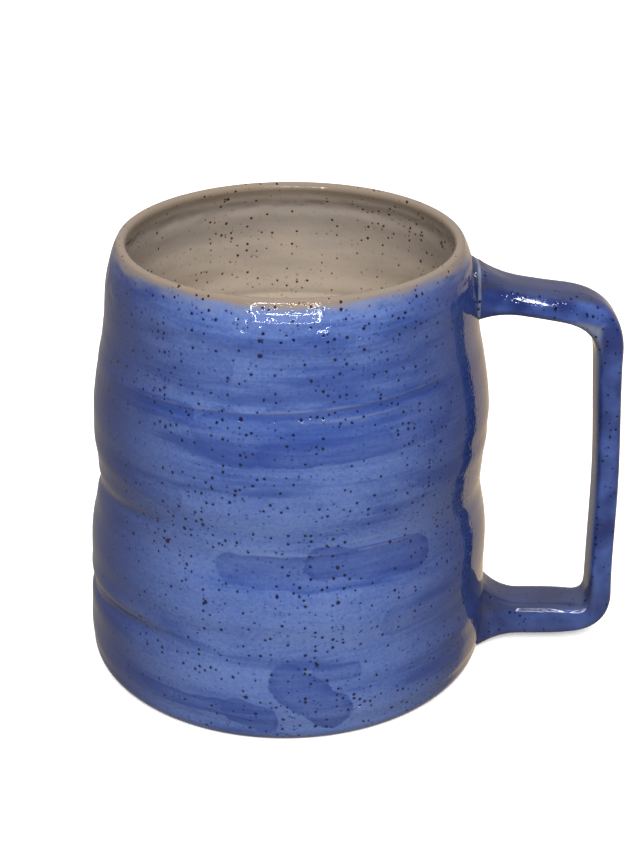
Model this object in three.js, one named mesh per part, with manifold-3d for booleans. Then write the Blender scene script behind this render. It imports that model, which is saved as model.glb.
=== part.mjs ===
// A wheel-thrown stoneware mug with a square strap handle, in the pieces it is made from:
// the thrown vessel, the strap, the two coils of clay that key the strap to the wall, and
// the three coats of fired glaze.
//
// Millimetres, +Z up. The origin is the centre of the flat base, on the table, and the
// handle stands out along +X.

import * as THREE from "three";
import { mergeVertices } from "three/addons/utils/BufferGeometryUtils.js";
import Module from "manifold-3d";

const wasm = await Module();
wasm.setup();

// ---------------------------------------------------------------- driving dimensions

const MUG_HEIGHT = 110; // to the top of the glazed lip
const FIT_GAP = 0.3; // between pieces that touch
const GLAZE_THICKNESS = 0.5;
const CLAY_INSET = FIT_GAP + GLAZE_THICKNESS; // from the glazed outside to the clay

// The glazed outside as [height, radius]: a wide foot, two thrown swells with a waist
// between them, and a shoulder that closes in to the mouth.
const OUTSIDE = [
  [2, 49.6],
  [12, 50.5],
  [23, 49.9],
  [34, 49.7],
  [49, 47.6],
  [63, 48.5],
  [77, 47.5],
  [90, 45.2],
  [99, 44.2],
  [105, 43],
  [110, 41.2],
];
const FOOT_BEVEL = 4; // radius of the sponged edge round the flat base
const BEVEL_END = -12; // degrees; the wall takes over just before the bevel is upright
const BEVEL_TO_WALL = 1; // height from the bevel's centre to the wall's first ring
const WALL_AT_FOOT = 5.6;
const WALL_AT_LIP = 2.7;
const FLOOR_THICKNESS = 6.5;
const FLOOR_COVE = 9; // radius between the floor and the wall, inside

const BLUE_TOP = 104.5; // the blue coat starts below the lip
const BLUE_BOTTOM = 1.6; // and stops above the table, so that it can't stick to the kiln shelf

// The handle's centreline, as corners in the XZ plane with the length each bend takes up.
const HANDLE_CORNERS = [
  { x: 38.2, z: 97.7 },
  { x: 77.4, z: 91.4, bend: 12 },
  { x: 79.8, z: 7, bend: 7.5 },
  { x: 42, z: 7 },
];
// The glazed strap's width and thickness along the top arm, the grip and the lower arm.
const TOP_ARM = [13.2, 6.9];
const GRIP = [12.4, 5.9];
const LOWER_ARM = [13.4, 8.4];
const STRAP_EDGE = 2.6; // radius of the strap's long edges

// A coil keys each end of the strap to the wall: where the strap's centre meets the wall,
// how far the coil reaches along the strap, and how much it flares at the wall.
const UPPER_COIL = { x: 45, z: 96.6, slope: -0.16, strap: TOP_ARM, reach: 9 };
const UPPER_FLARE = { above: 3, below: 3.3, aside: 1.7 };
const LOWER_COIL = { x: 50.2, z: 7, slope: 0, strap: LOWER_ARM, reach: 8.5 };
const LOWER_FLARE = { above: 4.4, below: 1.2, aside: 2.1 };
const COIL_SKIN = 0.5; // the coil's height over the strap where it thins out
const COIL_ROOT = 4; // how far the coil's shape starts inside the wall

const LATHE_SEGMENTS = 40;
const WALL_STEPS = 11; // rings up the outside of the wall
const INSIDE_STEPS = 9; // and down the inside
const ARC_STEPS = 4; // steps round the foot bevel and the cove, and over the lip
const BEND_STEPS = 7;
const STRAIGHT_STEPS = 4;
const EDGE_STEPS = 3; // steps round each long edge of the strap
const COIL_STEPS = 6;

// ---------------------------------------------------------------- solids

// A closed geometry as a manifold-3d solid.
function solid(geometry) {
  const bare = geometry.clone();
  bare.deleteAttribute("normal");
  bare.deleteAttribute("uv");
  const merged = mergeVertices(bare, 1e-4);
  return new wasm.Manifold(
    new wasm.Mesh({
      numProp: 3,
      vertProperties: merged.attributes.position.array,
      triVerts: new Uint32Array(merged.index.array),
    }),
  );
}

// A manifold-3d solid as a geometry.
function geometryOf(made) {
  const mesh = made.getMesh();
  const geometry = new THREE.BufferGeometry();
  geometry.setAttribute("position", new THREE.BufferAttribute(mesh.vertProperties, 3));
  geometry.setIndex(new THREE.BufferAttribute(mesh.triVerts, 1));
  geometry.computeVertexNormals();
  return geometry;
}

// A closed profile of (radius, height) points turned about Z.
function turned(profile) {
  return solid(new THREE.LatheGeometry(profile, LATHE_SEGMENTS).rotateX(Math.PI / 2));
}

// A closed skin through rings of points that all have the same number of points.
function lofted(rings) {
  const count = rings[0].length;
  const last = (rings.length - 1) * count;
  const index = [];
  for (let start = 0; start < last; start += count) {
    for (let i = 0; i < count; i++) {
      const [a, b] = [start + i, start + ((i + 1) % count)];
      index.push(a, b, a + count, b, b + count, a + count);
    }
  }
  for (let i = 1; i + 1 < count; i++) {
    index.push(0, i + 1, i, last, last + i, last + i + 1);
  }
  const geometry = new THREE.BufferGeometry();
  geometry.setFromPoints(rings.flat());
  geometry.setIndex(index);
  return solid(geometry);
}

const union = (solids) => solids.reduce((a, b) => a.add(b));

// ---------------------------------------------------------------- the vessel's profile

const outsideCurve = new THREE.CubicInterpolant(
  OUTSIDE.map(([height]) => height),
  OUTSIDE.map(([, radius]) => radius),
  1,
);
const clayRadius = (z) => outsideCurve.evaluate(z)[0] - CLAY_INSET;

// The clay wall's thickness at a height, under its two coats.
function clayWall(z) {
  const wall = THREE.MathUtils.mapLinear(z, 0, MUG_HEIGHT, WALL_AT_FOOT, WALL_AT_LIP);
  return wall - 2 * CLAY_INSET;
}

// Points up or down the wall between two heights, at the radius a function gives.
function wallPoints(from, to, steps, radiusAt) {
  return Array.from({ length: steps + 1 }, (_, i) => {
    const z = THREE.MathUtils.lerp(from, to, i / steps);
    return new THREE.Vector2(radiusAt(z), z);
  });
}

// Points round an arc, from one angle to another in degrees.
function arcPoints(cx, cz, radius, from, to) {
  return Array.from({ length: ARC_STEPS + 1 }, (_, i) => {
    const angle = THREE.MathUtils.degToRad(THREE.MathUtils.lerp(from, to, i / ARC_STEPS));
    return new THREE.Vector2(cx + radius * Math.cos(angle), cz + radius * Math.sin(angle));
  });
}

// The clay's section, in stretches: the flat base's rim, the wall under the blue coat, the
// lip, and the inside down to the centre of the floor.
function clayStretches() {
  const bevelTop = FOOT_BEVEL + BEVEL_TO_WALL;
  const bevelCentre = clayRadius(bevelTop) - FOOT_BEVEL;
  const bevel = arcPoints(bevelCentre, FOOT_BEVEL, FOOT_BEVEL, -90, BEVEL_END);
  const blueWall = wallPoints(bevelTop, BLUE_TOP, WALL_STEPS, clayRadius);

  const lipRadius = clayWall(MUG_HEIGHT) / 2;
  const lipBase = MUG_HEIGHT - CLAY_INSET - lipRadius;
  const lipCentre = clayRadius(lipBase) - lipRadius;
  const aboveBlue = new THREE.Vector2(clayRadius(BLUE_TOP + FIT_GAP), BLUE_TOP + FIT_GAP);
  const lip = arcPoints(lipCentre, lipBase, lipRadius, 0, 180);

  const floor = FLOOR_THICKNESS - CLAY_INSET;
  const coveTop = floor + FLOOR_COVE;
  const insideRadius = (z) => clayRadius(z) - clayWall(z);
  const inside = wallPoints(BLUE_TOP, coveTop, INSIDE_STEPS, insideRadius);
  const cove = arcPoints(insideRadius(coveTop) - FLOOR_COVE, coveTop, FLOOR_COVE, 0, -90);
  return { bevel, blueWall, lip: [aboveBlue, ...lip], inside: [...inside, ...cove.slice(1)] };
}

// Points of a profile moved out from the clay, square to it.
function offset(points, distance) {
  return points.map((point, i) => {
    const before = points[Math.max(i - 1, 0)];
    const after = points[Math.min(i + 1, points.length - 1)];
    const along = after.clone().sub(before).normalize();
    return new THREE.Vector2(point.x + along.y * distance, point.y - along.x * distance);
  });
}

const { bevel, blueWall, lip, inside } = clayStretches();
const axisPoint = (z) => new THREE.Vector2(0, z);

// ---------------------------------------------------------------- the handle's shape

// The centreline as runs, each with the strap's size where it starts and where it ends.
function handleRuns() {
  const [start, top, bottom, end] = HANDLE_CORNERS.map(({ x, z, bend }) => {
    return { at: new THREE.Vector3(x, 0, z), bend };
  });
  const towards = (from, to) => from.at.clone().add(to.at.clone().sub(from.at).setLength(from.bend));
  const topBend = [towards(top, start), towards(top, bottom)];
  const lowBend = [towards(bottom, top), towards(bottom, end)];
  return [
    [new THREE.LineCurve3(start.at, topBend[0]), TOP_ARM, TOP_ARM],
    [new THREE.QuadraticBezierCurve3(topBend[0], top.at, topBend[1]), TOP_ARM, GRIP],
    [new THREE.LineCurve3(topBend[1], lowBend[0]), GRIP, GRIP],
    [new THREE.QuadraticBezierCurve3(lowBend[0], bottom.at, lowBend[1]), GRIP, LOWER_ARM],
    [new THREE.LineCurve3(lowBend[1], end.at), LOWER_ARM, LOWER_ARM],
  ];
}

// A rounded rectangle round a centre: its width across Y, and how far it stands above and
// below the centre along `up`.
function roundedRing(centre, up, width, above, below, edge) {
  const ring = [];
  for (let corner = 0; corner < 4; corner++) {
    const y = (width / 2 - edge) * (corner === 0 || corner === 3 ? 1 : -1);
    const v = corner < 2 ? above - edge : edge - below;
    for (let i = 0; i <= EDGE_STEPS; i++) {
      const angle = ((corner + i / EDGE_STEPS) * Math.PI) / 2;
      const point = centre.clone().addScaledVector(up, v + edge * Math.sin(angle));
      point.y += y + edge * Math.cos(angle);
      ring.push(point);
    }
  }
  return ring;
}

// The strap bent along its runs, in from the glazed outside by a distance.
function strap(inset) {
  const across = new THREE.Vector3(0, 1, 0);
  const rings = [];
  for (const [run, startSize, endSize] of handleRuns()) {
    const steps = run.isLineCurve3 ? STRAIGHT_STEPS : BEND_STEPS;
    for (let i = rings.length === 0 ? 0 : 1; i <= steps; i++) {
      const t = i / steps;
      const ease = THREE.MathUtils.smoothstep(t, 0, 1);
      const width = THREE.MathUtils.lerp(startSize[0], endSize[0], ease) - 2 * inset;
      const half = THREE.MathUtils.lerp(startSize[1], endSize[1], ease) / 2 - inset;
      const outward = across.clone().cross(run.getTangent(t)).negate();
      rings.push(roundedRing(run.getPoint(t), outward, width, half, half, STRAP_EDGE - inset));
    }
  }
  return lofted(rings);
}

// The flared outside of a coil, in from the glazed outside by a distance.
function coil(place, flare, inset) {
  const up = new THREE.Vector3(0, 0, 1);
  const [width, thickness] = place.strap;
  const skin = COIL_SKIN - inset;
  const rings = [];
  for (let i = 0; i <= COIL_STEPS; i++) {
    const x = THREE.MathUtils.lerp(-COIL_ROOT, place.reach - inset, i / COIL_STEPS);
    const spread = (1 - Math.max(x, 0) / place.reach) ** 2;
    const centre = new THREE.Vector3(place.x + x, 0, place.z + place.slope * x);
    rings.push(
      roundedRing(
        centre,
        up,
        width + 2 * (skin + flare.aside * spread),
        thickness / 2 + skin + flare.above * spread,
        thickness / 2 + skin + flare.below * spread,
        STRAP_EDGE + skin,
      ),
    );
  }
  return lofted(rings);
}

const upperCoil = (inset) => coil(UPPER_COIL, UPPER_FLARE, inset);
const lowerCoil = (inset) => coil(LOWER_COIL, LOWER_FLARE, inset);
const wholeHandle = (inset) => union([strap(inset), upperCoil(inset), lowerCoil(inset)]);

// The vessel without its hollow, out from the clay by the fit gap: it trims the handle.
function vesselBlank() {
  const skin = offset([...bevel, ...blueWall], FIT_GAP);
  return turned([axisPoint(skin[0].y), ...skin, axisPoint(skin.at(-1).y)]);
}

// ---------------------------------------------------------------- the pieces

function vesselBody() {
  return turned([axisPoint(0), ...bevel, ...blueWall, ...lip, ...inside, axisPoint(inside.at(-1).y)]);
}

function jointCoil(shape) {
  return shape(CLAY_INSET).subtract(strap(GLAZE_THICKNESS)).subtract(vesselBlank());
}

// The blue coat on the wall, cut round the handle's two joints.
function bodyGlaze() {
  const coated = [...bevel.filter((p) => p.y > BLUE_BOTTOM), ...blueWall];
  const over = offset(coated, CLAY_INSET);
  const under = offset(coated, FIT_GAP).reverse();
  return turned([...over, ...under, over[0]]).subtract(wholeHandle(-FIT_GAP));
}

// The pale coat over the lip, down the inside and across the floor.
function linerGlaze() {
  const coated = [...lip, ...inside];
  const over = offset(coated, CLAY_INSET);
  const under = offset(coated, FIT_GAP).reverse();
  return turned([axisPoint(under[0].y), ...under, ...over, axisPoint(over.at(-1).y)]);
}

// The blue coat on the strap and its two joints.
function handleGlaze() {
  return wholeHandle(0).subtract(wholeHandle(GLAZE_THICKNESS)).subtract(vesselBlank());
}

const STONEWARE = { color: 0xb9a68c, roughness: 0.85, metalness: 0 };
const BLUE_GLAZE = { color: 0x4a5ea6, roughness: 0.18, metalness: 0 };
const PALE_GLAZE = { color: 0xbdb09c, roughness: 0.22, metalness: 0 };

const PIECES = [
  ["vessel_body", vesselBody(), STONEWARE],
  ["handle_strap", strap(CLAY_INSET).subtract(vesselBlank()), STONEWARE],
  ["upper_joint_coil", jointCoil(upperCoil), STONEWARE],
  ["lower_joint_coil", jointCoil(lowerCoil), STONEWARE],
  ["liner_glaze", linerGlaze(), PALE_GLAZE],
  ["body_glaze", bodyGlaze(), BLUE_GLAZE],
  ["handle_glaze", handleGlaze(), BLUE_GLAZE],
];

const mug = new THREE.Group();
for (const [name, made, look] of PIECES) {
  const mesh = new THREE.Mesh(geometryOf(made), new THREE.MeshStandardMaterial(look));
  mesh.name = name;
  mug.add(mesh);
}

export default mug;
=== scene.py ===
"""A wheel-thrown stoneware mug in soft studio light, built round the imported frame.

The wall, the lip and the inside are turned surfaces with the marks of throwing on them. The
handle is a strap swept along its bends and flared where it joins the wall. Both are coats of
glaze with a real thickness, over the clay that they cover.

Shapes are worked out in millimetres and turned into metres where a mesh is made. An angle
round the mug is counted from the front, -Y, towards the handle, +X.
"""

import math

import bpy
import numpy as np
from mathutils import Matrix, Vector


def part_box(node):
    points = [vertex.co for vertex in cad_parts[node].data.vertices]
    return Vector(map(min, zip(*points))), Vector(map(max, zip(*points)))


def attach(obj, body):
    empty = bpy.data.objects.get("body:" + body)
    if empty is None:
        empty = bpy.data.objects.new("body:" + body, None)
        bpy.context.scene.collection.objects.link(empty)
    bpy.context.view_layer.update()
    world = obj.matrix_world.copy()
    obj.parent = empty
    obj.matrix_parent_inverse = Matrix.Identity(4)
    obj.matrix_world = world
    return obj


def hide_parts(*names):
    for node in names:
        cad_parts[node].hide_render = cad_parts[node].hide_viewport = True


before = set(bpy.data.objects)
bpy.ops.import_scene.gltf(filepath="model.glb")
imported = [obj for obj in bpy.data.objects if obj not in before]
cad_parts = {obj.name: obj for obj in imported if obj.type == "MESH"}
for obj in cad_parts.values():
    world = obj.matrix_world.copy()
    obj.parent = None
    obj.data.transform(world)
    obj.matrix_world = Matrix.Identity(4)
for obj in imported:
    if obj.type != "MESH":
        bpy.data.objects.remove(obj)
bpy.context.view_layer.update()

MM = 0.001
ON_AXIS = 1e-9  # a smaller radius than this is on the mug's axis

# ---------------------------------------------------------------- driving dimensions

MUG_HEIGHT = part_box("liner_glaze")[1].z / MM
BLUE_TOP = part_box("body_glaze")[1].z / MM
BLUE_BOTTOM = 0.5

GLAZE = 0.5  # the thickness of each coat
CLAY_INSET = 0.8  # from the glazed outside to the clay
WALL_AT_FOOT = 5.6
LIP_THICKNESS = 2.6
FLOOR = 6.5
FOOT_BEVEL = 4.4
FLOOR_COVE = 9.0

# The glazed outside, as (height, radius).
OUTSIDE = [
    (0, 48.2), (4, 49.6), (7.5, 50.4), (11, 50.5), (16.5, 50.3), (22, 49.9), (33, 49.8),
    (38.5, 49.2), (44, 48.2), (49.5, 47.6), (55, 47.8), (60.5, 48.4), (66, 48.5), (71.5, 48.2),
    (77, 47.5), (82.5, 46.4), (88, 45.4), (93.5, 44.8), (98, 44.3), (101, 43.8), (104, 43.1),
    (106.5, 42.4), (108, 41.8), (109, 41.3),
]
# How far the wall's axis wanders towards the handle, as (height, shift).
WANDER = [(0, -0.9), (20, -0.4), (35, -0.2), (50, 0.1), (66, 0.5), (82, 0.6), (110, 0.4)]

# The unevenness of a thrown wall is a sum of waves that run nearly level.
RIPPLES = 26
RIPPLE_LENGTHS = (5, 22)  # from crest to crest, the least and the most
RIPPLE_DEPTH = 0.0014  # as a share of the length
RIPPLE_CLIMBS = 4  # in one turn round the mug, a wave climbs by fewer of its lengths than this
RIPPLE_SEED = 11

# Ridges and grooves from the potter's fingers: height at the front, rise for each degree
# round, depth (out is positive), half-width, and the angles where each one starts and ends.
THROWN_LINES = [
    (85.4, 0.037, 0.14, 0.40, -75, 55),
    (84.1, 0.037, -0.12, 1.0, -60, 60),
    (82.7, 0.030, 0.08, 0.35, -5, 45),
    (50.3, 0.002, 0.12, 0.35, -25, 45),
    (52.1, 0.035, 0.08, 0.35, -25, 35),
    (57.2, 0.100, -0.75, 2.0, -150, -30),
    (27.1, 0.070, -0.85, 1.9, -140, -28),
    (30.8, 0.070, 0.35, 2.4, -140, -35),
]
LINE_FADE = 18  # degrees over which each one fades in and out

# Where the relief grows from nothing at the foot and dies down to a share of itself at the
# lip, by height, and where it grows from nothing on the floor inside, by radius.
RELIEF_GROWS, RELIEF_DIES = (0, 6), (100, 108)
RELIEF_AT_LIP = 0.2
RELIEF_ON_FLOOR = (10, 30)

# Soft rings thrown into the inside: height, depth into the wall, half-width.
INSIDE_RINGS = [(103.5, 0.7, 2.2), (95, 0.2, 2.2), (86, 0.2, 2.6), (78.5, 0.2, 1.0), (60, 0.3, 3.0)]

AROUND = 320  # points round every turned surface
FINE_STEP = 0.45  # height of one ring where the surface shows
COARSE_STEP = 4.0  # and where it is hidden
BEVEL_POINTS, LIP_POINTS, COVE_POINTS, FLOOR_POINTS = 14, 24, 20, 24
SHARP_ANGLE = 55  # degrees; an edge that bends more is shaded as an edge

# One in so many rings is kept on the hidden face of the coats and on the hidden clay.
KEPT_UNDER_COAT, KEPT_UNDER_HANDLE_COAT = 10, 6
KEPT_OF_STRAP, KEPT_OF_COIL = 3, 2

# ---------------------------------------------------------------- curves


def smooth(points, at):
    """A cubic curve through (x, y) points with no overshoot between them, at any x."""
    x, y = np.array(points, float).T
    step = np.diff(x)
    slope = np.diff(y) / step
    tangent = np.zeros_like(y)
    tangent[0], tangent[-1] = slope[0], slope[-1]
    same_way = slope[:-1] * slope[1:] > 0
    mean = (slope[:-1] + slope[1:]) / 2
    least = 3 * np.minimum(abs(slope[:-1]), abs(slope[1:]))
    tangent[1:-1] = np.where(same_way, np.sign(mean) * np.minimum(abs(mean), least), 0)
    i = np.clip(np.searchsorted(x, at) - 1, 0, len(x) - 2)
    t = (at - x[i]) / step[i]
    rise = step[i] * (tangent[i] * t * (1 - t) ** 2 - tangent[i + 1] * t * t * (1 - t))
    return y[i] + (y[i + 1] - y[i]) * t * t * (3 - 2 * t) + rise


def ease(low, high, value):
    """0 below low, 1 above high and smooth between them."""
    t = np.clip((value - low) / (high - low), 0, 1)
    return t * t * (3 - 2 * t)


def hump(value, middle, half_width):
    """1 in the middle, dying away on both sides."""
    return np.exp(-(((value - middle) / half_width) ** 2))


def arc(cx, cz, radius, start, end, count):
    """Points (radius, height) round an arc, by angles in degrees."""
    a = np.radians(np.linspace(start, end, count))
    return np.column_stack([cx + radius * np.cos(a), cz + radius * np.sin(a)])


def levels(start, end, step):
    """Evenly spaced heights from start to end."""
    return np.linspace(start, end, max(2, round(abs(end - start) / step) + 1))


# ---------------------------------------------------------------- the wall's shape


def wall_radius(z):
    """The radius of the glazed outside at a height."""
    return smooth(OUTSIDE, z)


def axis_shift(z):
    """How far the wall has wandered towards the handle at a height."""
    heights, shifts = np.array(WANDER).T
    return np.interp(z, heights, shifts)


def ripples(angle, z):
    """The unevenness of a thrown wall: long low waves, nearly level, closed round the mug."""
    dice = np.random.default_rng(RIPPLE_SEED)
    total = np.zeros(np.broadcast(angle, z).shape)
    for _ in range(RIPPLES):
        turns = dice.integers(0, RIPPLE_CLIMBS)
        length = dice.uniform(*RIPPLE_LENGTHS)
        phase = dice.uniform(0, 2 * np.pi)
        total += RIPPLE_DEPTH * length * np.sin(turns * angle + 2 * np.pi * z / length + phase)
    return total


def thrown_lines(angle, z):
    """The ridges and grooves of THROWN_LINES, each fading out at its two ends."""
    degrees = np.degrees(angle)
    total = np.zeros(np.broadcast(angle, z).shape)
    for height, rise, depth, width, start, end in THROWN_LINES:
        fade_in = ease(start, start + LINE_FADE, degrees)
        fade_out = 1 - ease(end - LINE_FADE, end, degrees)
        total += depth * fade_in * fade_out * hump(z, height + rise * degrees, width)
    return total


def relief(angle, z):
    """How far the wall stands out from its even shape. It dies away at the foot and the lip."""
    share = ease(*RELIEF_GROWS, z) * (1 - (1 - RELIEF_AT_LIP) * ease(*RELIEF_DIES, z))
    return (ripples(angle, z) + thrown_lines(angle, z)) * share


def offset(profile, distance):
    """A profile moved out from the clay, square to it; points on the axis stay on it."""
    along = np.gradient(profile, axis=0)
    along /= np.linalg.norm(along, axis=1)[:, None]
    moved = profile + distance * np.column_stack([along[:, 1], -along[:, 0]])
    moved[profile[:, 0] < ON_AXIS, 0] = 0
    return moved


def clay_outline(step):
    """The clay's outline from the base's edge, up the outside, over the lip and down to the
    middle of the floor, and the place in it where the two glazes meet."""
    bevel_top = FOOT_BEVEL + 1
    bevel_r = wall_radius(bevel_top) - CLAY_INSET - FOOT_BEVEL
    low = arc(bevel_r, FOOT_BEVEL, FOOT_BEVEL, -90, -8, BEVEL_POINTS)
    z = levels(bevel_top, BLUE_TOP, step)
    outside = np.vstack([low, np.column_stack([wall_radius(z) - CLAY_INSET, z])])

    # The lip is an arc that carries on the slope of the wall on both sides.
    round_radius = LIP_THICKNESS / 2 - CLAY_INSET
    centre_z = MUG_HEIGHT - CLAY_INSET - round_radius
    leaning_in = wall_radius(centre_z - 0.5) - wall_radius(centre_z + 0.5)
    lean = math.atan(leaning_in)
    start_z = centre_z + round_radius * math.sin(lean)
    centre_r = wall_radius(start_z) - CLAY_INSET - round_radius * math.cos(lean)
    z = levels(BLUE_TOP, start_z, step)[1:-1]
    below_lip = np.column_stack([wall_radius(z) - CLAY_INSET, z])
    lean = math.degrees(lean)
    lip = arc(centre_r, centre_z, round_radius, lean, 180 + lean, LIP_POINTS)

    # Inside, the wall thickens evenly from the lip down to the cove round the floor.
    inner_top = lip[-1, 1]
    lip_gap = wall_radius(inner_top) - lip[-1, 0]
    floor = FLOOR - CLAY_INSET
    cove_top = floor + FLOOR_COVE
    z = levels(inner_top, cove_top, step)[1:]
    inner_r = wall_radius(z) - np.interp(z, [0, inner_top], [WALL_AT_FOOT + CLAY_INSET, lip_gap])
    for height, depth, width in INSIDE_RINGS:
        inner_r += depth * hump(z, height, width)
    inner = np.column_stack([inner_r, z])
    cove = arc(inner_r[-1] - FLOOR_COVE, cove_top, FLOOR_COVE, 0, -90, COVE_POINTS)[1:]
    flat_r = np.linspace(cove[-1, 0] - 1.5, 0, FLOOR_POINTS)
    flat = np.column_stack([flat_r, np.full(FLOOR_POINTS, floor)])
    return np.vstack([outside, below_lip, lip, inner, cove, flat]), len(outside) - 1


# ---------------------------------------------------------------- meshes


def piece(name, points, faces, material, node):
    """A smooth-shaded object that stands for one CAD node and rides on its body."""
    mesh = bpy.data.meshes.new(name)
    mesh.from_pydata((points * MM).tolist(), [], faces)
    mesh.validate()
    mesh.shade_smooth()
    mesh.set_sharp_from_angle(angle=math.radians(SHARP_ANGLE))
    mesh.materials.append(material)
    made = bpy.data.objects.new(name, mesh)
    bpy.context.scene.collection.objects.link(made)
    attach(made, "root")
    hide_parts(node)
    return made


def ring_faces(count, size, looped):
    """Four-sided faces between each ring and the next, and from the last to the first."""
    faces = []
    for ring in range(count if looped else count - 1):
        a = ring * size
        b = (ring + 1) % count * size
        for i in range(size):
            j = (i + 1) % size
            faces.append((a + i, a + j, b + j, b + i))
    return faces


def turned(name, profile, material, node):
    """Turns a closed profile about the axis, with the wall's relief and wander on it.

    A profile that starts and ends on the axis is closed there by fans of triangles.
    """
    on_axis = profile[0, 0] < ON_AXIS
    rings = profile[1:-1] if on_axis else profile
    angle = np.linspace(-np.pi, np.pi, AROUND, endpoint=False)
    radius, z = rings[:, :1], rings[:, 1:]
    radius = radius + relief(angle[None, :], z) * ease(*RELIEF_ON_FLOOR, radius)
    z = z + 0 * angle
    x = radius * np.sin(angle) + axis_shift(z)
    y = -radius * np.cos(angle)
    points = np.stack([x, y, z], axis=-1).reshape(-1, 3)
    faces = ring_faces(len(rings), AROUND, looped=not on_axis)
    if on_axis:
        first_pole, last_pole = len(points), len(points) + 1
        poles = [(axis_shift(height), 0, height) for height in (profile[0, 1], profile[-1, 1])]
        points = np.vstack([points, poles])
        last_ring = (len(rings) - 1) * AROUND
        for i in range(AROUND):
            j = (i + 1) % AROUND
            faces.append((first_pole, j, i))
            faces.append((last_pole, last_ring + i, last_ring + j))
    return piece(name, points, faces, material, node)


def swept(name, rings, material, node):
    """A closed skin round a loop of rings, each with the same number of points."""
    count, size = rings.shape[:2]
    faces = ring_faces(count, size, looped=True)
    return piece(name, rings.reshape(-1, 3), faces, material, node)


# ---------------------------------------------------------------- the handle's shape

# The centreline's corners in the XZ plane, and the length each bend takes up on both sides.
HANDLE_CORNERS = [(41.7, 97.2), (77.3, 91.4), (79.9, 6.9), (46.8, 7.0)]
BENDS = [(11.5, 11.0), (7.5, 7.5)]
PATH_STEP, BEND_POINTS = 0.5, 30
# The grip, past GRIP_FROM, bows out: how far, at what height, and half its length.
BOW, BOW_HEIGHT, BOW_LENGTH = 0.8, 48, 22
GRIP_FROM = 70
# Width and thickness of the strap along its length, from the wall at the top (0) to the
# wall at the bottom (1).
STRAP_WIDTH = [
    (0, 13.0), (0.04, 13.0), (0.135, 13.3), (0.245, 12.9), (0.5, 12.2), (0.78, 12.9),
    (0.865, 13.3), (0.95, 12.9), (1, 13.0),
]
STRAP_THICKNESS = [
    (0, 7.2), (0.12, 7.2), (0.22, 8.0), (0.32, 6.3), (0.65, 5.9), (0.78, 6.6), (0.86, 8.7), (1, 9.0),
]
# How far the strap's two sides lean in towards its outer face, as a share of its width.
STRAP_LEAN = [(0, 0.17), (0.2, 0.17), (0.32, 0.0), (0.68, 0.0), (0.82, -0.17), (1, -0.17)]
# The flare at each joint: how far from the axis the wall is, how far the flare reaches from
# it, and how much it adds there above, below and on both sides.
UPPER_FLARE = (44.6, 12.0, 2.6, 3.8, 0.4)
LOWER_FLARE = (50.0, 10.0, 4.8, 1.7, 2.0)
FLARE_POWER = 2.2
FLARE_LIMIT = 1.15  # how far the flare goes on growing inside the wall
# The strap's sides stand proud in a ridge where it meets the wall: its distance from there,
# half-width, and height at the top joint and the lower one. Behind the ridge at the top
# joint they are tucked in.
RIDGE_AT, RIDGE_WIDTH = 0.4, 0.5
RIDGE_HEIGHTS = (0.6, 0.1)
RIDGE_X = UPPER_FLARE[0] + RIDGE_AT
TUCK = 1.5
HELD_DEPTH = 0.4  # how far the ends of the handle go on past the middle of the wall
SECTION_POINTS = 72
SECTION_POWER = 4.5  # 2 would be an ellipse; more is squarer
SIDE_CROWN = 0.05  # how much the strap's sides bulge, as a share of its half-width


def straight(points, end):
    """Adds evenly spaced points to a path, up to its new end."""
    count = round(np.linalg.norm(end - points[-1]) / PATH_STEP)
    points += list(np.linspace(points[-1], end, count + 1)[1:])


def handle_path():
    """Points and tangents along the centreline, and how far along each point is, 0 to 1."""
    corners = [np.array(c, float) for c in HANDLE_CORNERS]
    points = [corners[0]]
    for here, before, after, bend in zip(corners[1:], corners, corners[2:], BENDS):
        start = here + (before - here) / np.linalg.norm(before - here) * bend[0]
        end = here + (after - here) / np.linalg.norm(after - here) * bend[1]
        straight(points, start)
        for t in np.linspace(0, 1, BEND_POINTS)[1:]:
            points.append((1 - t) ** 2 * start + 2 * t * (1 - t) * here + t * t * end)
    straight(points, corners[-1])
    points = np.array(points)
    bow = BOW * hump(points[:, 1], BOW_HEIGHT, BOW_LENGTH)
    points[:, 0] += np.where(points[:, 0] > GRIP_FROM, bow, 0)
    tangents = np.gradient(points, axis=0)
    tangents /= np.linalg.norm(tangents, axis=1)[:, None]
    travelled = np.r_[0, np.cumsum(np.linalg.norm(np.diff(points, axis=0), axis=1))]
    return points, tangents, travelled / travelled[-1]


def kept_in_wall(x, y, z):
    """The x of points of the handle, with those that would come out inside the mug held back."""
    middle = wall_radius(z) - LIP_THICKNESS / 2
    limit = np.sqrt(middle**2 - y**2) + axis_shift(z)
    past = np.maximum(limit - x, 0)
    return np.where(past > 0, limit - HELD_DEPTH * (1 - np.exp(-past)), x)


def flare(x, at_top):
    """What a joint adds to the strap at x: above, below and on each side."""
    wall, reach, above, below, aside = UPPER_FLARE if at_top else LOWER_FLARE
    spread = np.clip(1 - (x - wall) / reach, 0, FLARE_LIMIT) ** FLARE_POWER
    ridge = RIDGE_HEIGHTS[0 if at_top else 1] * hump(x, wall + RIDGE_AT, RIDGE_WIDTH)
    tuck = TUCK * np.clip((wall + RIDGE_AT - x) / TUCK, 0, 1) if at_top else 0
    return above * spread, below * spread, aside * spread + ridge - tuck


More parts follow.
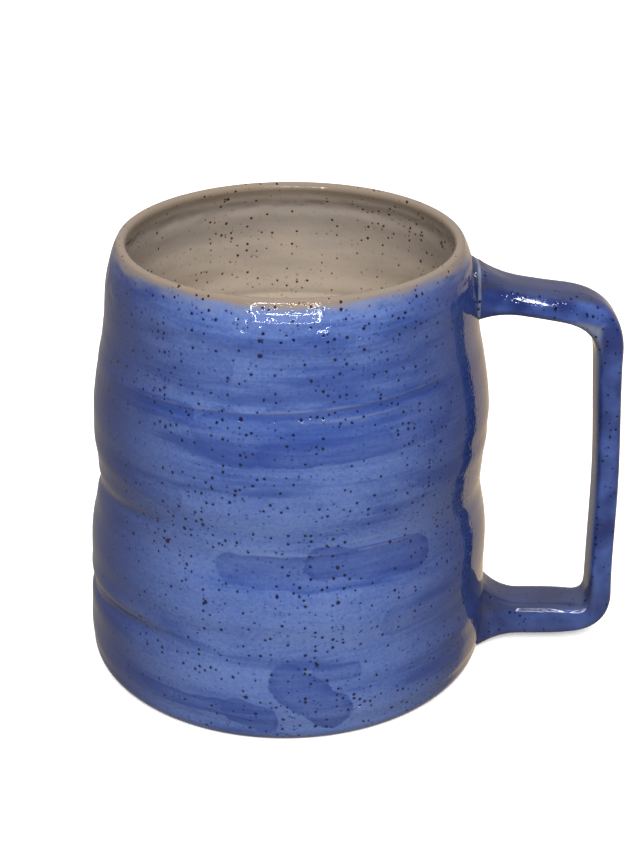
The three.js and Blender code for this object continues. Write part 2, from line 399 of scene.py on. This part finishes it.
def handle_rings(inset, flared=True):
    """Sections of the strap, in from the glazed outside by a distance, with the x of each
    one's middle and how far along it is."""
    points, tangents, along = handle_path()
    a = np.linspace(0, 2 * np.pi, SECTION_POINTS, endpoint=False)
    round_u = np.sign(np.cos(a)) * abs(np.cos(a)) ** (2 / SECTION_POWER)
    round_v = np.sign(np.sin(a)) * abs(np.sin(a)) ** (2 / SECTION_POWER)
    half_widths = smooth(STRAP_WIDTH, along) / 2
    half_thicknesses = smooth(STRAP_THICKNESS, along) / 2
    leans = smooth(STRAP_LEAN, along)
    rings = []
    for i, ((x, z), (tx, tz)) in enumerate(zip(points, tangents)):
        at_top = along[i] < 0.5
        above, below, aside = flare(x, at_top) if flared else (0, 0, 0)
        outer, inner = (above, below) if at_top else (below, above)
        outward = half_thicknesses[i] + outer - inset
        inward = half_thicknesses[i] + inner - inset
        half_width = half_widths[i] + aside - inset
        v = np.where(round_v > 0, outward, inward) * round_v
        y = half_width * (1 - leans[i] * round_v - SIDE_CROWN * round_v**2) * round_u
        ring_z = z + tx * v
        rings.append(np.column_stack([kept_in_wall(x - tz * v, y, ring_z), y, ring_z]))
    return np.array(rings), points[:, 0], along


# ---------------------------------------------------------------- node patterns


class Pattern:
    """One value in a node tree. Arithmetic on it adds math nodes."""

    def __init__(self, tree, socket):
        self.tree = tree
        self.socket = socket

    def math(self, operation, *others):
        node = self.tree.nodes.new("ShaderNodeMath")
        node.operation = operation
        for value, target in zip((self, *others), node.inputs):
            plug(self.tree, value, target)
        return Pattern(self.tree, node.outputs[0])

    def __add__(self, other):
        return self.math("ADD", other)

    def __sub__(self, other):
        return self.math("SUBTRACT", other)

    def __mul__(self, other):
        return self.math("MULTIPLY", other)

    def between(self, low, high, to_low=0.0, to_high=1.0):
        """Smoothly maps low..high to to_low..to_high, and holds beyond them."""
        node = self.tree.nodes.new("ShaderNodeMapRange")
        node.interpolation_type = "SMOOTHSTEP"
        for value, target in zip((self, low, high, to_low, to_high), node.inputs):
            plug(self.tree, value, target)
        return Pattern(self.tree, node.outputs[0])


def plug(tree, value, target):
    """Links a pattern to a socket, or sets the socket to a plain value."""
    if isinstance(value, Pattern):
        tree.links.new(value.socket, target)
    else:
        target.default_value = value


def mix(tree, factor, first, second):
    """The colour first where the factor is 0 and second where it is 1."""
    node = tree.nodes.new("ShaderNodeMix")
    node.data_type = "RGBA"
    plug(tree, factor, node.inputs["Factor"])
    colour_inputs = [socket for socket in node.inputs if socket.type == "RGBA"]
    for value, target in zip((first, second), colour_inputs):
        plug(tree, value if isinstance(value, Pattern) else (*value, 1), target)
    mixed = [socket for socket in node.outputs if socket.type == "RGBA"]
    return Pattern(tree, mixed[0])


def strongest(masks):
    """The largest of several patterns at each place."""
    total = masks[0]
    for mask in masks[1:]:
        total = total.math("MAXIMUM", mask)
    return total


class Canvas:
    """A material being made, with the mug's own coordinates in millimetres."""

    def __init__(self, name):
        self.material = bpy.data.materials.new(name)
        self.material.use_nodes = True
        self.tree = self.material.node_tree
        self.shader = self.tree.nodes["Principled BSDF"]
        coordinates = self.tree.nodes.new("ShaderNodeTexCoord").outputs["Object"]
        scale = self.tree.nodes.new("ShaderNodeVectorMath")
        scale.operation = "SCALE"
        scale.inputs["Scale"].default_value = 1 / MM
        self.tree.links.new(coordinates, scale.inputs[0])
        self.position = Pattern(self.tree, scale.outputs[0])
        split = self.tree.nodes.new("ShaderNodeSeparateXYZ")
        self.tree.links.new(self.position.socket, split.inputs[0])
        self.x, self.y, self.z = (Pattern(self.tree, out) for out in split.outputs)

    def angle(self):
        """Degrees round the mug from the front, towards the handle."""
        return self.x.math("ARCTAN2", self.y * -1) * math.degrees(1)

    def radius(self):
        """Distance from the mug's axis."""
        return (self.x * self.x + self.y * self.y).math("SQRT")

    def stretched(self, size, shift=(0, 0, 0), turn=(0, 0, 0)):
        """The position, shrunk so that a pattern's features get this size in millimetres."""
        node = self.tree.nodes.new("ShaderNodeMapping")
        self.tree.links.new(self.position.socket, node.inputs["Vector"])
        node.inputs["Scale"].default_value = [1 / s for s in size]
        node.inputs["Location"].default_value = shift
        node.inputs["Rotation"].default_value = [math.radians(r) for r in turn]
        return Pattern(self.tree, node.outputs[0])

    def noise(self, size, detail=2.0, rough=0.5, warp=0.0, turn=(0, 0, 0)):
        """Noise of about 0 to 1 whose features have this size in millimetres."""
        where = self.stretched(size, turn=turn)
        node = self.tree.nodes.new("ShaderNodeTexNoise")
        node.inputs["Scale"].default_value = 1.0
        node.inputs["Detail"].default_value = detail
        node.inputs["Roughness"].default_value = rough
        node.inputs["Distortion"].default_value = warp
        self.tree.links.new(where.socket, node.inputs["Vector"])
        return Pattern(self.tree, node.outputs[0])

    def dots(self, spacing):
        """Distance from the nearest of many scattered points, as a share of their spacing,
        and that point's own number."""
        where = self.stretched((spacing,) * 3, (spacing, 0, 0))
        node = self.tree.nodes.new("ShaderNodeTexVoronoi")
        node.inputs["Scale"].default_value = 1.0
        self.tree.links.new(where.socket, node.inputs["Vector"])
        split = self.tree.nodes.new("ShaderNodeSeparateColor")
        self.tree.links.new(node.outputs["Color"], split.inputs[0])
        return Pattern(self.tree, node.outputs["Distance"]), Pattern(self.tree, split.outputs[0])

    def mix(self, factor, first, second):
        return mix(self.tree, factor, first, second)

    def bump(self, height):
        """Feeds a height in millimetres to the surface as bump."""
        node = self.tree.nodes.new("ShaderNodeBump")
        node.inputs["Distance"].default_value = MM
        node.inputs["Strength"].default_value = 1.0
        self.tree.links.new(height.socket, node.inputs["Height"])
        self.tree.links.new(node.outputs[0], self.shader.inputs["Normal"])

    def set(self, **values):
        """Sets the shader's sockets by name, with _ for a space."""
        for name, value in values.items():
            target = self.shader.inputs[name.replace("_", " ")]
            if isinstance(value, tuple) and len(value) == 3:
                value = (*value, 1)
            plug(self.tree, value, target)


# ---------------------------------------------------------------- the glazes

DEEP_BLUE = (0.012, 0.033, 0.155)
STROKE_BLUE = (0.014, 0.034, 0.165)
MID_BLUE = (0.044, 0.080, 0.240)
PALE_BLUE = (0.084, 0.130, 0.296)
DARK_STREAK_AND_SHADE_BLUE = (0.009, 0.018, 0.092)  # darker streaks on the handle, and painted shade on the wall's sides and the handle's edges
REFLECTION_GREY_BLUE = (0.026, 0.030, 0.058)  # painted reflection of the room on top of the handle's arms, and a little over all of it
THIN_AND_HIGHLIT_BLUE = (0.150, 0.170, 0.215)  # where the coat is thin enough to show the clay, and painted highlight on the ridges
CREAM = (0.166, 0.132, 0.099)
LIT_LOW_CREAM = (0.400, 0.335, 0.262)  # down inside, made paler as painted light
# painted shade on the liner higher up inside, under the lip
SHADED_WARM_GREY = (0.205, 0.176, 0.150)
EDGE_BROWN = (0.075, 0.045, 0.030)
IRON = (0.006, 0.006, 0.014)
RUST = (0.270, 0.120, 0.040)
CLAY_PALE = (0.44, 0.345, 0.25)
CLAY_DARK = (0.36, 0.27, 0.19)

GLAZE_IOR = 1.52
WALL_WAVES, HANDLE_WAVES = 0.08, 0.02  # how much the glaze's surface swells and sinks

# Sizes of speck in the clay: spacing in millimetres, how many are missing (0 to 1), the
# largest radius in millimetres, and how dark they are through the glaze.
SPECKS = [(1.30, 0.26, 0.38, 1.0), (4.4, 0.50, 0.55, 1.0), (1.1, 0.45, 0.20, 0.7)]
SPECK_EDGE = (-0.06, 0.05)  # where a speck fades, from just inside its edge to just outside
HALO = 0.35  # how far the halo of a speck reaches, in millimetres
FEWER_BARE = 0.09  # the share of the specks that is lost where there is no blue

# Strokes where the blue was brushed on twice: angle and height of each end of the stroke,
# half its width in millimetres, and how strong it is.
STROKES = [
    (-0.8, 17.4, 11.2, 9.2, 5.4, 0.90),
    (8, 20.0, 17, 19.4, 2.4, 0.60),
    (-14.8, 9.2, -7.2, 6.8, 3.8, 0.85),
    (-50, 8.8, -19, 9.4, 2.3, 0.75),
    (-24, 8.2, -10.5, 6.5, 0.6, 1.00),
    (-16, 46.2, 24, 45.0, 4.4, 0.62),
    (2, 43.6, 22, 43.4, 2.8, 0.45),
    (9, 47.8, 37, 46.2, 4.4, 0.95),
    (-20, 78.6, 44, 81.0, 6.4, 0.55),
    (-6, 75.2, 26, 76.8, 3.0, 0.75),
    (-62, 81.5, -30, 82.5, 2.4, 0.65),
    (30, 30.0, 62, 33.0, 4.0, 0.40),
    (-60, 63.0, -34, 61.0, 3.4, 0.45),
    (-48, 92.0, -20, 94.0, 3.6, 0.35),
]
STREAK_DEPTH = 0.40  # how much of a stroke's strength its own bristle streaks vary
STROKE_WAVER = 0.85  # how much a stroke's edge wavers, as a share of its half-width
STROKE_MIDDLE = 0.70  # how dark the middle of a stroke is beside its edge

# Painted shade darkens the blue on both sides of the mug, where less light falls: the angles from
# the front over which it grows and then fades again, how strong it gets at the side, and the share
# it keeps at the back.
SHADE_GROWS, SHADE_FADES = (18, 66), (85, 125)
SHADE_AT_SIDE, SHADE_KEPT_AT_BACK = 0.80, 0.15

# Heights near the lip, each as where a change starts and ends. The noise added to a height
# moves them down by about half of what it is scaled by.
BLUE_FADES = (108.5, 113)
BLUE_STOPS = (110.4, 112.6)
LINER_SHADES = (84, 108)
LINER_WARMS = (106, 111)
OUTSIDE_LINER = (96, 98)
DENTS_START, DENTS_END = (97, 102), (105, 107)
# On the liner the blue stays outside a cone through the top of the lip: its radius at the
# height of the base, and how much it narrows for each millimetre up.
LIP_CONE_RADIUS, LIP_CONE_TAPER = 76.4, 0.33
# The brown edge, where the lip turns down inside: radius, heights, and how far back it goes.
BROWN_RADIUS = 38.9
BROWN_HEIGHTS = (107.5, 108.2)
BROWN_ENDS = (-20, 5)

# Places on the handle, each as where a change starts and ends. A level on the top arm is a
# height with the arm's fall taken out of it.
ARM_FALL = 0.163
ON_TOP_ARM = (80, 84)
TOP_ARM_EDGE, TOP_ARM_TOP = (100.6, 102.2), (105.4, 107.2)
LOW_ARM_TOP, ABOVE_LOW_ARM = (8.8, 10.6), (18, 22)
LOW_ARM_END = (77.0, 78.5)
GREYER_LOW = (12, 24)
# The inner corner of the upper bend: the gap's outer side, its top as a level for a fall of
# its own, and where the corner starts, by x and by height.
GAP_SIDE, GAP_TOP, GAP_FALL = 74.2, 99.5, 0.15
CORNER_X, CORNER_Z = (54, 62), (60, 72)


def stroke_mask(canvas):
    """How much a second brush stroke covers, 0 to 1, darkest along its wavering edges."""
    angle = canvas.angle()
    waver = canvas.noise((8, 8, 4), detail=3) - 0.5
    worn = canvas.noise((20, 20, 1.6)).between(0.3, 0.7, 1 - STREAK_DEPTH, 1.0)
    strokes = []
    for start_angle, start_z, end_angle, end_z, half_width, strength in STROKES:
        degree = math.radians(float(wall_radius((start_z + end_z) / 2)))
        across, rise = (end_angle - start_angle) * degree, end_z - start_z
        length = math.hypot(across, rise)
        c, s = across / length, rise / length
        u = (angle - start_angle) * degree
        v = canvas.z - start_z
        along = u * c + v * s
        beyond = along - along.math("MAXIMUM", 0.0).math("MINIMUM", length)
        aside = v * c - u * s
        away = (beyond * beyond + aside * aside).math("SQRT")
        away = away + waver * (half_width * STROKE_WAVER)
        inside = away.between(half_width - 0.45, half_width + 0.15, strength, 0.0)
        darkened = away.between(half_width * 0.4, half_width - 0.4, STROKE_MIDDLE, 1.0)
        strokes.append(inside * darkened)
    return strongest(strokes) * worn


def line_masks(canvas):
    """Where the coat thins out on the throwing ridges, which also get painted highlight, and where
    it pools in the grooves.
    """
    angle = canvas.angle()
    broken = canvas.noise((9, 9, 3)).between(0.35, 0.6)
    ridges, grooves = [], []
    for height, rise, depth, width, start, end in THROWN_LINES:
        away = ((canvas.z - angle * rise - height) * (1 / width)).math("ABSOLUTE")
        fade_in = angle.between(start, start + LINE_FADE)
        fade_out = angle.between(end - LINE_FADE, end, 1.0, 0.0)
        line = away.between(0.2, 1.3, 1.0, 0.0) * (fade_in * fade_out)
        (ridges if depth > 0 else grooves).append(line)
    return strongest(ridges) * broken, strongest(grooves)


def speck_masks(canvas, cover=1.0):
    """Iron specks: a mask of the specks and a wider, fainter one of the halo round each.

    Fewer of them show through where the cover of blue is less.
    """
    warp = canvas.noise((0.45, 0.45, 0.45), detail=1) - 0.5
    crowd = canvas.noise((16, 16, 16), detail=1).between(0.35, 0.65, -0.14, 0.10)
    crowd = crowd + (cover * FEWER_BARE - FEWER_BARE)
    specks, halos = [], []
    for spacing, missing, radius, depth in SPECKS:
        away, number = canvas.dots(spacing)
        grown = (number + crowd).between(missing, 1.0, -0.1, 1.0) * (radius / spacing)
        edge = away + warp * (radius / spacing) - grown
        inside, outside = (reach / spacing for reach in SPECK_EDGE)
        specks.append(edge.between(inside, outside, depth, 0.0))
        halos.append(edge.between(0.0, HALO / spacing, depth, 0.0))
    return strongest(specks), strongest(halos)


def blue_on_wall_colour(canvas):
    """The brushed blue: level streaks, broad uneven coverage, doubled strokes, painted highlight on
    the ridges and painted shade at the sides.
    """
    fine = canvas.noise((24, 24, 1.3), detail=3, rough=0.6, turn=(2, 1, 0))
    broad = canvas.noise((38, 38, 9), detail=3, turn=(-3, 2, 0))
    cloud = canvas.noise((16, 16, 12))
    mottle = canvas.noise((0.9, 0.9, 0.7))
    light = fine * 0.16 + broad * 0.42 + cloud * 0.26 + mottle * 0.30
    colour = canvas.mix(light.between(0.42, 0.72), MID_BLUE, PALE_BLUE)
    dark = (broad * 0.8 + fine * 0.2).between(0.36, 0.50, 0.6, 0.0)
    colour = canvas.mix(dark, colour, DEEP_BLUE)
    colour = canvas.mix(stroke_mask(canvas), colour, STROKE_BLUE)
    thin, darkened = line_masks(canvas)
    colour = canvas.mix(darkened * 0.35, colour, DEEP_BLUE)
    # The ridges are lighter from the coat thinning there and from painted highlight where they catch
    # the light.
    colour = canvas.mix(thin * 0.32, colour, THIN_AND_HIGHLIT_BLUE)
    # Painted shade: darker towards both sides, where less light falls.
    angle = canvas.angle().math("ABSOLUTE")
    side_shade = angle.between(*SHADE_GROWS, 0.0, SHADE_AT_SIDE) * angle.between(*SHADE_FADES, 1.0, SHADE_KEPT_AT_BACK)
    colour = canvas.mix(side_shade, colour, DARK_STREAK_AND_SHADE_BLUE)
    # Just under the lip it lies over the cream and goes pale and greyish.
    faded = canvas.noise((6, 6, 2), detail=3)
    return canvas.mix((canvas.z + faded * 6).between(*BLUE_FADES, 0.0, 0.55), colour, THIN_AND_HIGHLIT_BLUE)


def blue_on_handle_colour(canvas):
    """The blue on the strap: long streaks, thin and pale round its inner corner, with painted shade,
    highlight and reflection.
    """
    along = canvas.noise((12, 2.2, 12), detail=3)
    cloud = canvas.noise((9, 9, 9))
    colour = canvas.mix((along * 0.5 + cloud * 0.5).between(0.38, 0.66), DARK_STREAK_AND_SHADE_BLUE, MID_BLUE)
    level = canvas.z + canvas.x * ARM_FALL
    on_top_arm = canvas.z.between(*ON_TOP_ARM)

    # Painted shade darkens the lower edge of the top arm and the crease where the strap meets the
    # wall.
    lower_edge = level.between(*TOP_ARM_EDGE, 0.8, 0.0)
    crease = canvas.x.between(RIDGE_X - 0.6, RIDGE_X - 0.2, 0.9, 0.0)
    darkened = lower_edge.math("MAXIMUM", crease) * on_top_arm
    colour = canvas.mix(darkened, colour, DARK_STREAK_AND_SHADE_BLUE)

    # On top of both arms the room's reflection is painted as a grey blue; a share of that grey lies
    # over the whole handle, more of it low down.
    on_low_arm = canvas.z.between(*LOW_ARM_TOP) * canvas.z.between(*ABOVE_LOW_ARM, 1.0, 0.0)
    on_low_arm = on_low_arm * canvas.x.between(*LOW_ARM_END, 1.0, 0.0)
    least_grey = canvas.z.between(*GREYER_LOW, 0.40, 0.10)
    on_top = level.between(*TOP_ARM_TOP).math("MAXIMUM", on_low_arm)
    colour = canvas.mix(on_top.between(0, 1, least_grey, 0.85), colour, REFLECTION_GREY_BLUE)

    # It is thin round the inner corner. Along the ridge at the wall it is lighter, from the coat
    # thinning there and from a painted highlight on the ridge.
    past_top = canvas.z + canvas.x * GAP_FALL - GAP_TOP
    from_gap = (canvas.x - GAP_SIDE).math("MAXIMUM", past_top)
    corner = canvas.x.between(*CORNER_X) * canvas.z.between(*CORNER_Z)
    thin = (from_gap + cloud * 3.4).between(1.6, 3.4, 0.7, 0.0) * corner
    ridge = (canvas.x - RIDGE_X).math("ABSOLUTE").between(0.15, 0.5, 0.7, 0.0) * on_top_arm
    return canvas.mix(thin.math("MAXIMUM", ridge), colour, THIN_AND_HIGHLIT_BLUE)


def pale_colour(canvas):
    """The cream liner: paler low down inside as painted light, greyer and darker higher up as
    painted shade, and darkest on the lip.
    """
    cloud = canvas.noise((18, 18, 5), detail=3)
    # Painted light low down inside and painted shade higher up, under the lip.
    tone = canvas.mix((canvas.z + cloud * 14).between(*LINER_SHADES), LIT_LOW_CREAM, SHADED_WARM_GREY)
    tone = canvas.mix((canvas.z + cloud * 4).between(*LINER_WARMS), tone, CREAM)
    # It breaks to brown along the inner edge of the lip, at the front.
    from_edge = (canvas.radius() - BROWN_RADIUS).math("ABSOLUTE")
    brown = from_edge.between(0.1, 0.5, 0.8, 0.0) * canvas.z.between(*BROWN_HEIGHTS)
    brown = brown * canvas.y.between(*BROWN_ENDS, 1.0, 0.0) * cloud.between(0.35, 0.55)
    return canvas.mix(brown, tone, EDGE_BROWN)


def blue_below_lip(canvas):
    """The blue stops in a streaky, uneven line below the lip."""
    streak = canvas.noise((9, 9, 1.6), detail=3, rough=0.6)
    sway = canvas.noise((24, 24, 60), detail=1)
    return (canvas.z + streak * 3.0 + sway * 3.0).between(*BLUE_STOPS, 1.0, 0.0)


def paint_wall(canvas):
    """The wall's colour, and how much of it is the blue's."""
    cover = blue_below_lip(canvas)
    return canvas.mix(cover, pale_colour(canvas), blue_on_wall_colour(canvas)), cover


def paint_liner(canvas):
    """Cream, with the top of the blue on the outside of the lip only."""
    from_cone = canvas.radius() + canvas.z * LIP_CONE_TAPER - LIP_CONE_RADIUS
    outside = from_cone.between(-0.3, 0.3) * canvas.z.between(*OUTSIDE_LINER)
    cover = blue_below_lip(canvas) * outside
    return canvas.mix(cover, pale_colour(canvas), blue_on_wall_colour(canvas)), cover


def paint_handle(canvas):
    """The handle's colour, which is all blue."""
    return blue_on_handle_colour(canvas), 1.0


def glaze(name, paint, waves):
    """A glossy glaze with specks through it; paint gives its colour and the blue's cover.

    Its surface swells and sinks by up to `waves` millimetres.
    """
    canvas = Canvas(name)
    colour, cover = paint(canvas)
    speck, halo = speck_masks(canvas, cover)
    halo_colour = canvas.mix(cover, RUST, DEEP_BLUE)
    colour = canvas.mix(halo * 0.35, colour, halo_colour)
    colour = canvas.mix(speck * 0.96, colour, IRON)

    # The two glazes overlap below the lip, which leaves the surface dented there.
    peel = canvas.noise((3.2, 3.2, 2.0))
    wave = canvas.noise((11, 11, 5), detail=1)
    overlap = canvas.noise((2.4, 2.4, 1.6), warp=0.4)
    dents = canvas.noise((6.5, 6.5, 4), detail=1)
    below_lip = canvas.z.between(*DENTS_START) * canvas.z.between(*DENTS_END, 1.0, 0.25)
    height = peel * 0.02 + wave * waves + overlap * below_lip * 0.05
    canvas.bump(height + dents * below_lip * 0.6 - halo * 0.02)
    wear = canvas.noise((6, 6, 3))
    canvas.set(Base_Color=colour, Roughness=wear.between(0.3, 0.7, 0.03, 0.07), IOR=GLAZE_IOR)
    return canvas.material


def bare_clay(name):
    """Unglazed stoneware: matt, sandy and speckled."""
    canvas = Canvas(name)
    speck, halo = speck_masks(canvas)
    sand = canvas.noise((0.7, 0.7, 0.7), detail=3, rough=0.6)
    cloud = canvas.noise((20, 20, 20))
    colour = canvas.mix(cloud, CLAY_PALE, CLAY_DARK)
    colour = canvas.mix(halo * 0.4, colour, RUST)
    colour = canvas.mix(speck * 0.9, colour, IRON)
    canvas.bump(sand * 0.10)
    canvas.set(Base_Color=colour, Roughness=sand.between(0.3, 0.7, 0.75, 0.95))
    return canvas.material


# ---------------------------------------------------------------- the pieces


def make_vessel():
    """The thrown vessel, whose bare base is the only part of it that shows."""
    outline, _ = clay_outline(COARSE_STEP)
    profile = np.vstack([[[0, 0]], outline])
    return turned("stoneware_vessel", profile, bare_clay("bare_stoneware"), "vessel_body")


def coat(outline, first, last):
    """The outer and inner faces of the glaze between two places in the clay's outline."""
    over = offset(outline, CLAY_INSET)[first:last]
    under = offset(outline, CLAY_INSET - GLAZE)[first:last]
    kept = np.unique(np.r_[np.arange(0, len(under), KEPT_UNDER_COAT), len(under) - 1])
    return over, under[kept][::-1]


def make_wall_glaze():
    """The blue coat from just above the table to where it meets the liner's."""
    outline, meeting = clay_outline(FINE_STEP)
    first = int(np.argmax(outline[:, 1] > BLUE_BOTTOM))
    over, under = coat(outline, first, meeting + 1)
    glazed = glaze("blue_wall_glaze", paint_wall, WALL_WAVES)
    return turned("blue_wall_coat", np.vstack([over, under]), glazed, "body_glaze")


def make_liner():
    """The pale coat over the lip and down the inside to the middle of the floor."""
    outline, meeting = clay_outline(FINE_STEP)
    over, under = coat(outline, meeting, len(outline))
    glazed = glaze("liner_and_lip_glaze", paint_liner, WALL_WAVES)
    return turned("pale_liner_coat", np.vstack([under, over]), glazed, "liner_glaze")


def make_handle_glaze():
    """The blue coat over the strap and the coils at its two joints."""
    over, _, _ = handle_rings(0)
    under, _, _ = handle_rings(GLAZE)
    rings = np.vstack([over, under[::-KEPT_UNDER_HANDLE_COAT]])
    glazed = glaze("blue_handle_glaze", paint_handle, HANDLE_WAVES)
    return swept("blue_handle_coat", rings, glazed, "handle_glaze")


def make_strap(clay):
    """The pulled strap under the glaze, closed to a point inside the wall at each end."""
    rings, _, _ = handle_rings(CLAY_INSET, flared=False)
    rings = rings[::KEPT_OF_STRAP]
    top_tip, low_tip = (end.mean(axis=0) + 0.01 * (end - end.mean(axis=0)) for end in rings[[0, -1]])
    rings = np.concatenate([[top_tip], rings, [low_tip]])
    return swept("stoneware_strap", rings, clay, "handle_strap")


def make_coil(name, top, clay):
    """The coil round one end of the strap, from inside the wall to where it thins out."""
    outer, x, along = handle_rings(CLAY_INSET)
    inner, _, _ = handle_rings(GLAZE, flared=False)
    wall, reach = (UPPER_FLARE if top else LOWER_FLARE)[:2]
    part = (x < wall + reach * 0.7) & ((along < 0.5) == top)
    rings = np.concatenate([outer[part][::KEPT_OF_COIL], inner[part][::-KEPT_OF_COIL]])
    node = "upper_joint_coil" if top else "lower_joint_coil"
    return swept(name, rings, clay, node)


make_vessel()
make_wall_glaze()
make_liner()
make_handle_glaze()

handle_clay = bare_clay("handle_stoneware")
make_strap(handle_clay)
make_coil("stoneware_upper_coil", True, handle_clay)
make_coil("stoneware_lower_coil", False, handle_clay)

# ---------------------------------------------------------------- floor, light and camera

CAMERA_AT = (0.0, -402.3, 254.8)
CAMERA_PITCH = 0.4519  # radians down
CAMERA_YAW = 0.0194  # towards the handle
CAMERA_ROLL = 0.0050
FOCAL_LENGTH = 75.8

TABLE_HALF_SIZE = 12.0  # metres, as are all the places below

# A window frame of four bright bars stands in front of the mug, with a faint pane behind it.
WINDOW_DISTANCE = 1.2
WINDOW_LEFT, WINDOW_RIGHT = -0.52, 0.36
WINDOW_LOW, WINDOW_HIGH = 0.47, 0.92
WINDOW_BAR = 0.022
WINDOW_GLOW, PANE_GLOW = 60.0, 0.6
PANE_COLOUR = (0.88, 0.90, 1.0)
PANE_BEHIND = 0.05

# Soft square lights that don't show in the glaze: place, side and watts.
SOFT_LIGHTS = {
    "overhead": ((0.1, 0.2, 1.3), 1.2, 8),
    "fill": ((-0.5, 1.0, 0.8), 0.8, 7),
    "key": ((0.06, -0.9, 0.95), 0.6, 20.5),
}
LIT_POINT = (0.01, 0, 0.055)

ROOM_FRONT = (0.10, 0.09, 0.10)
ROOM_BACK = (0.46, 0.41, 0.42)
ROOM_TOP = (0.55, 0.54, 0.58)
TABLE = (0.34, 0.31, 0.28)
TABLE_RIGHT = (0.78, 0.62, 0.44)  # behind the mug and to the right


def make_table():
    """A plain pale table that glows a little, so that it stays pale in the soft light."""
    mesh = bpy.data.meshes.new("floor")
    sides = [(-1, -1), (1, -1), (1, 1), (-1, 1)]
    corners = [(TABLE_HALF_SIZE * x, TABLE_HALF_SIZE * y, 0) for x, y in sides]
    mesh.from_pydata(corners, [], [(0, 1, 2, 3)])
    table = bpy.data.objects.new("floor", mesh)
    bpy.context.scene.collection.objects.link(table)
    table.visible_glossy = False
    table.visible_diffuse = False
    canvas = Canvas("pale_floor")
    canvas.set(Base_Color=(0.9, 0.9, 0.9), Roughness=0.9)
    canvas.set(Emission_Color=(1, 1, 1), Emission_Strength=0.3)
    mesh.materials.append(canvas.material)


def make_world():
    """A soft room, dark in front of the mug and lighter behind it, over a lit table."""
    world = bpy.data.worlds.new("studio")
    world.use_nodes = True
    tree = world.node_tree
    direction = tree.nodes.new("ShaderNodeTexCoord").outputs["Generated"]
    split = tree.nodes.new("ShaderNodeSeparateXYZ")
    tree.links.new(direction, split.inputs[0])
    x, y, z = (Pattern(tree, out) for out in split.outputs)
    colour = mix(tree, y.between(-0.35, 0.6), ROOM_FRONT, ROOM_BACK)
    colour = mix(tree, z.between(0.35, 0.85), colour, ROOM_TOP)
    lit = y.between(0.44, 0.56) * x.between(-0.2, 0.15)
    table = mix(tree, lit, TABLE, TABLE_RIGHT)
    colour = mix(tree, z.between(-0.15, -0.02, 1.0, 0.0), colour, table)
    tree.links.new(colour.socket, tree.nodes["Background"].inputs["Color"])
    bpy.context.scene.world = world


def softbox(name, at, aim, width, height, watts, colour=(1, 1, 1)):
    """A rectangular area light at a point, facing another."""
    light = bpy.data.lights.new(name, "AREA")
    light.shape = "RECTANGLE"
    light.size = width
    light.size_y = height
    light.energy = watts
    light.color = colour
    lamp = bpy.data.objects.new(name, light)
    lamp.location = at
    lamp.rotation_mode = "QUATERNION"
    lamp.rotation_quaternion = (Vector(aim) - Vector(at)).to_track_quat("-Z", "Y")
    bpy.context.scene.collection.objects.link(lamp)
    return lamp


def window_light(name, x, z, width, height, glow, behind=0.0, colour=(1, 1, 1)):
    """A glowing rectangle in the window's plane, or behind it, that faces the mug's side."""
    at = Vector((x, -WINDOW_DISTANCE - behind, z))
    watts = glow * math.pi * width * height
    softbox(name, at, at + Vector((0, 1, 0)), width, height, watts, colour)


def make_window():
    """Four bright bars and the faint pane between them."""
    middle_x, middle_z = (WINDOW_LEFT + WINDOW_RIGHT) / 2, (WINDOW_LOW + WINDOW_HIGH) / 2
    width, height = WINDOW_RIGHT - WINDOW_LEFT, WINDOW_HIGH - WINDOW_LOW
    window_light("window_top", middle_x, WINDOW_HIGH, width, WINDOW_BAR, WINDOW_GLOW)
    window_light("window_bottom", middle_x, WINDOW_LOW, width, WINDOW_BAR, WINDOW_GLOW)
    window_light("window_left", WINDOW_LEFT, middle_z, WINDOW_BAR, height, WINDOW_GLOW)
    window_light("window_right", WINDOW_RIGHT, middle_z, WINDOW_BAR, height, WINDOW_GLOW)
    window_light(
        "window_pane", middle_x, middle_z, width, height, PANE_GLOW, PANE_BEHIND, PANE_COLOUR
    )


def make_soft_lights():
    """The even light that the table and the mug are seen by."""
    for name, (at, side, watts) in SOFT_LIGHTS.items():
        lamp = softbox(name, at, LIT_POINT, side, side, watts)
        lamp.visible_glossy = False


def make_camera():
    """The camera, turned by yaw, pitch and roll."""
    yaw, pitch, roll = CAMERA_YAW, CAMERA_PITCH, CAMERA_ROLL
    level_part = math.cos(pitch)
    forward = Vector((math.sin(yaw) * level_part, math.cos(yaw) * level_part, -math.sin(pitch)))
    level = Vector((math.cos(yaw), -math.sin(yaw), 0))
    upright = level.cross(forward)
    right = level * math.cos(roll) + upright * math.sin(roll)
    up = upright * math.cos(roll) - level * math.sin(roll)
    pose = Matrix((right, up, -forward)).transposed().to_4x4()
    pose.translation = Vector(CAMERA_AT) * MM
    data = bpy.data.cameras.new("camera")
    data.lens = FOCAL_LENGTH
    data.clip_start = 0.01
    camera = bpy.data.objects.new("camera", data)
    camera.matrix_world = pose
    bpy.context.scene.collection.objects.link(camera)
    bpy.context.scene.camera = camera


make_table()
make_world()
make_window()
make_soft_lights()
make_camera()
bpy.context.scene.view_settings.view_transform = "Standard"
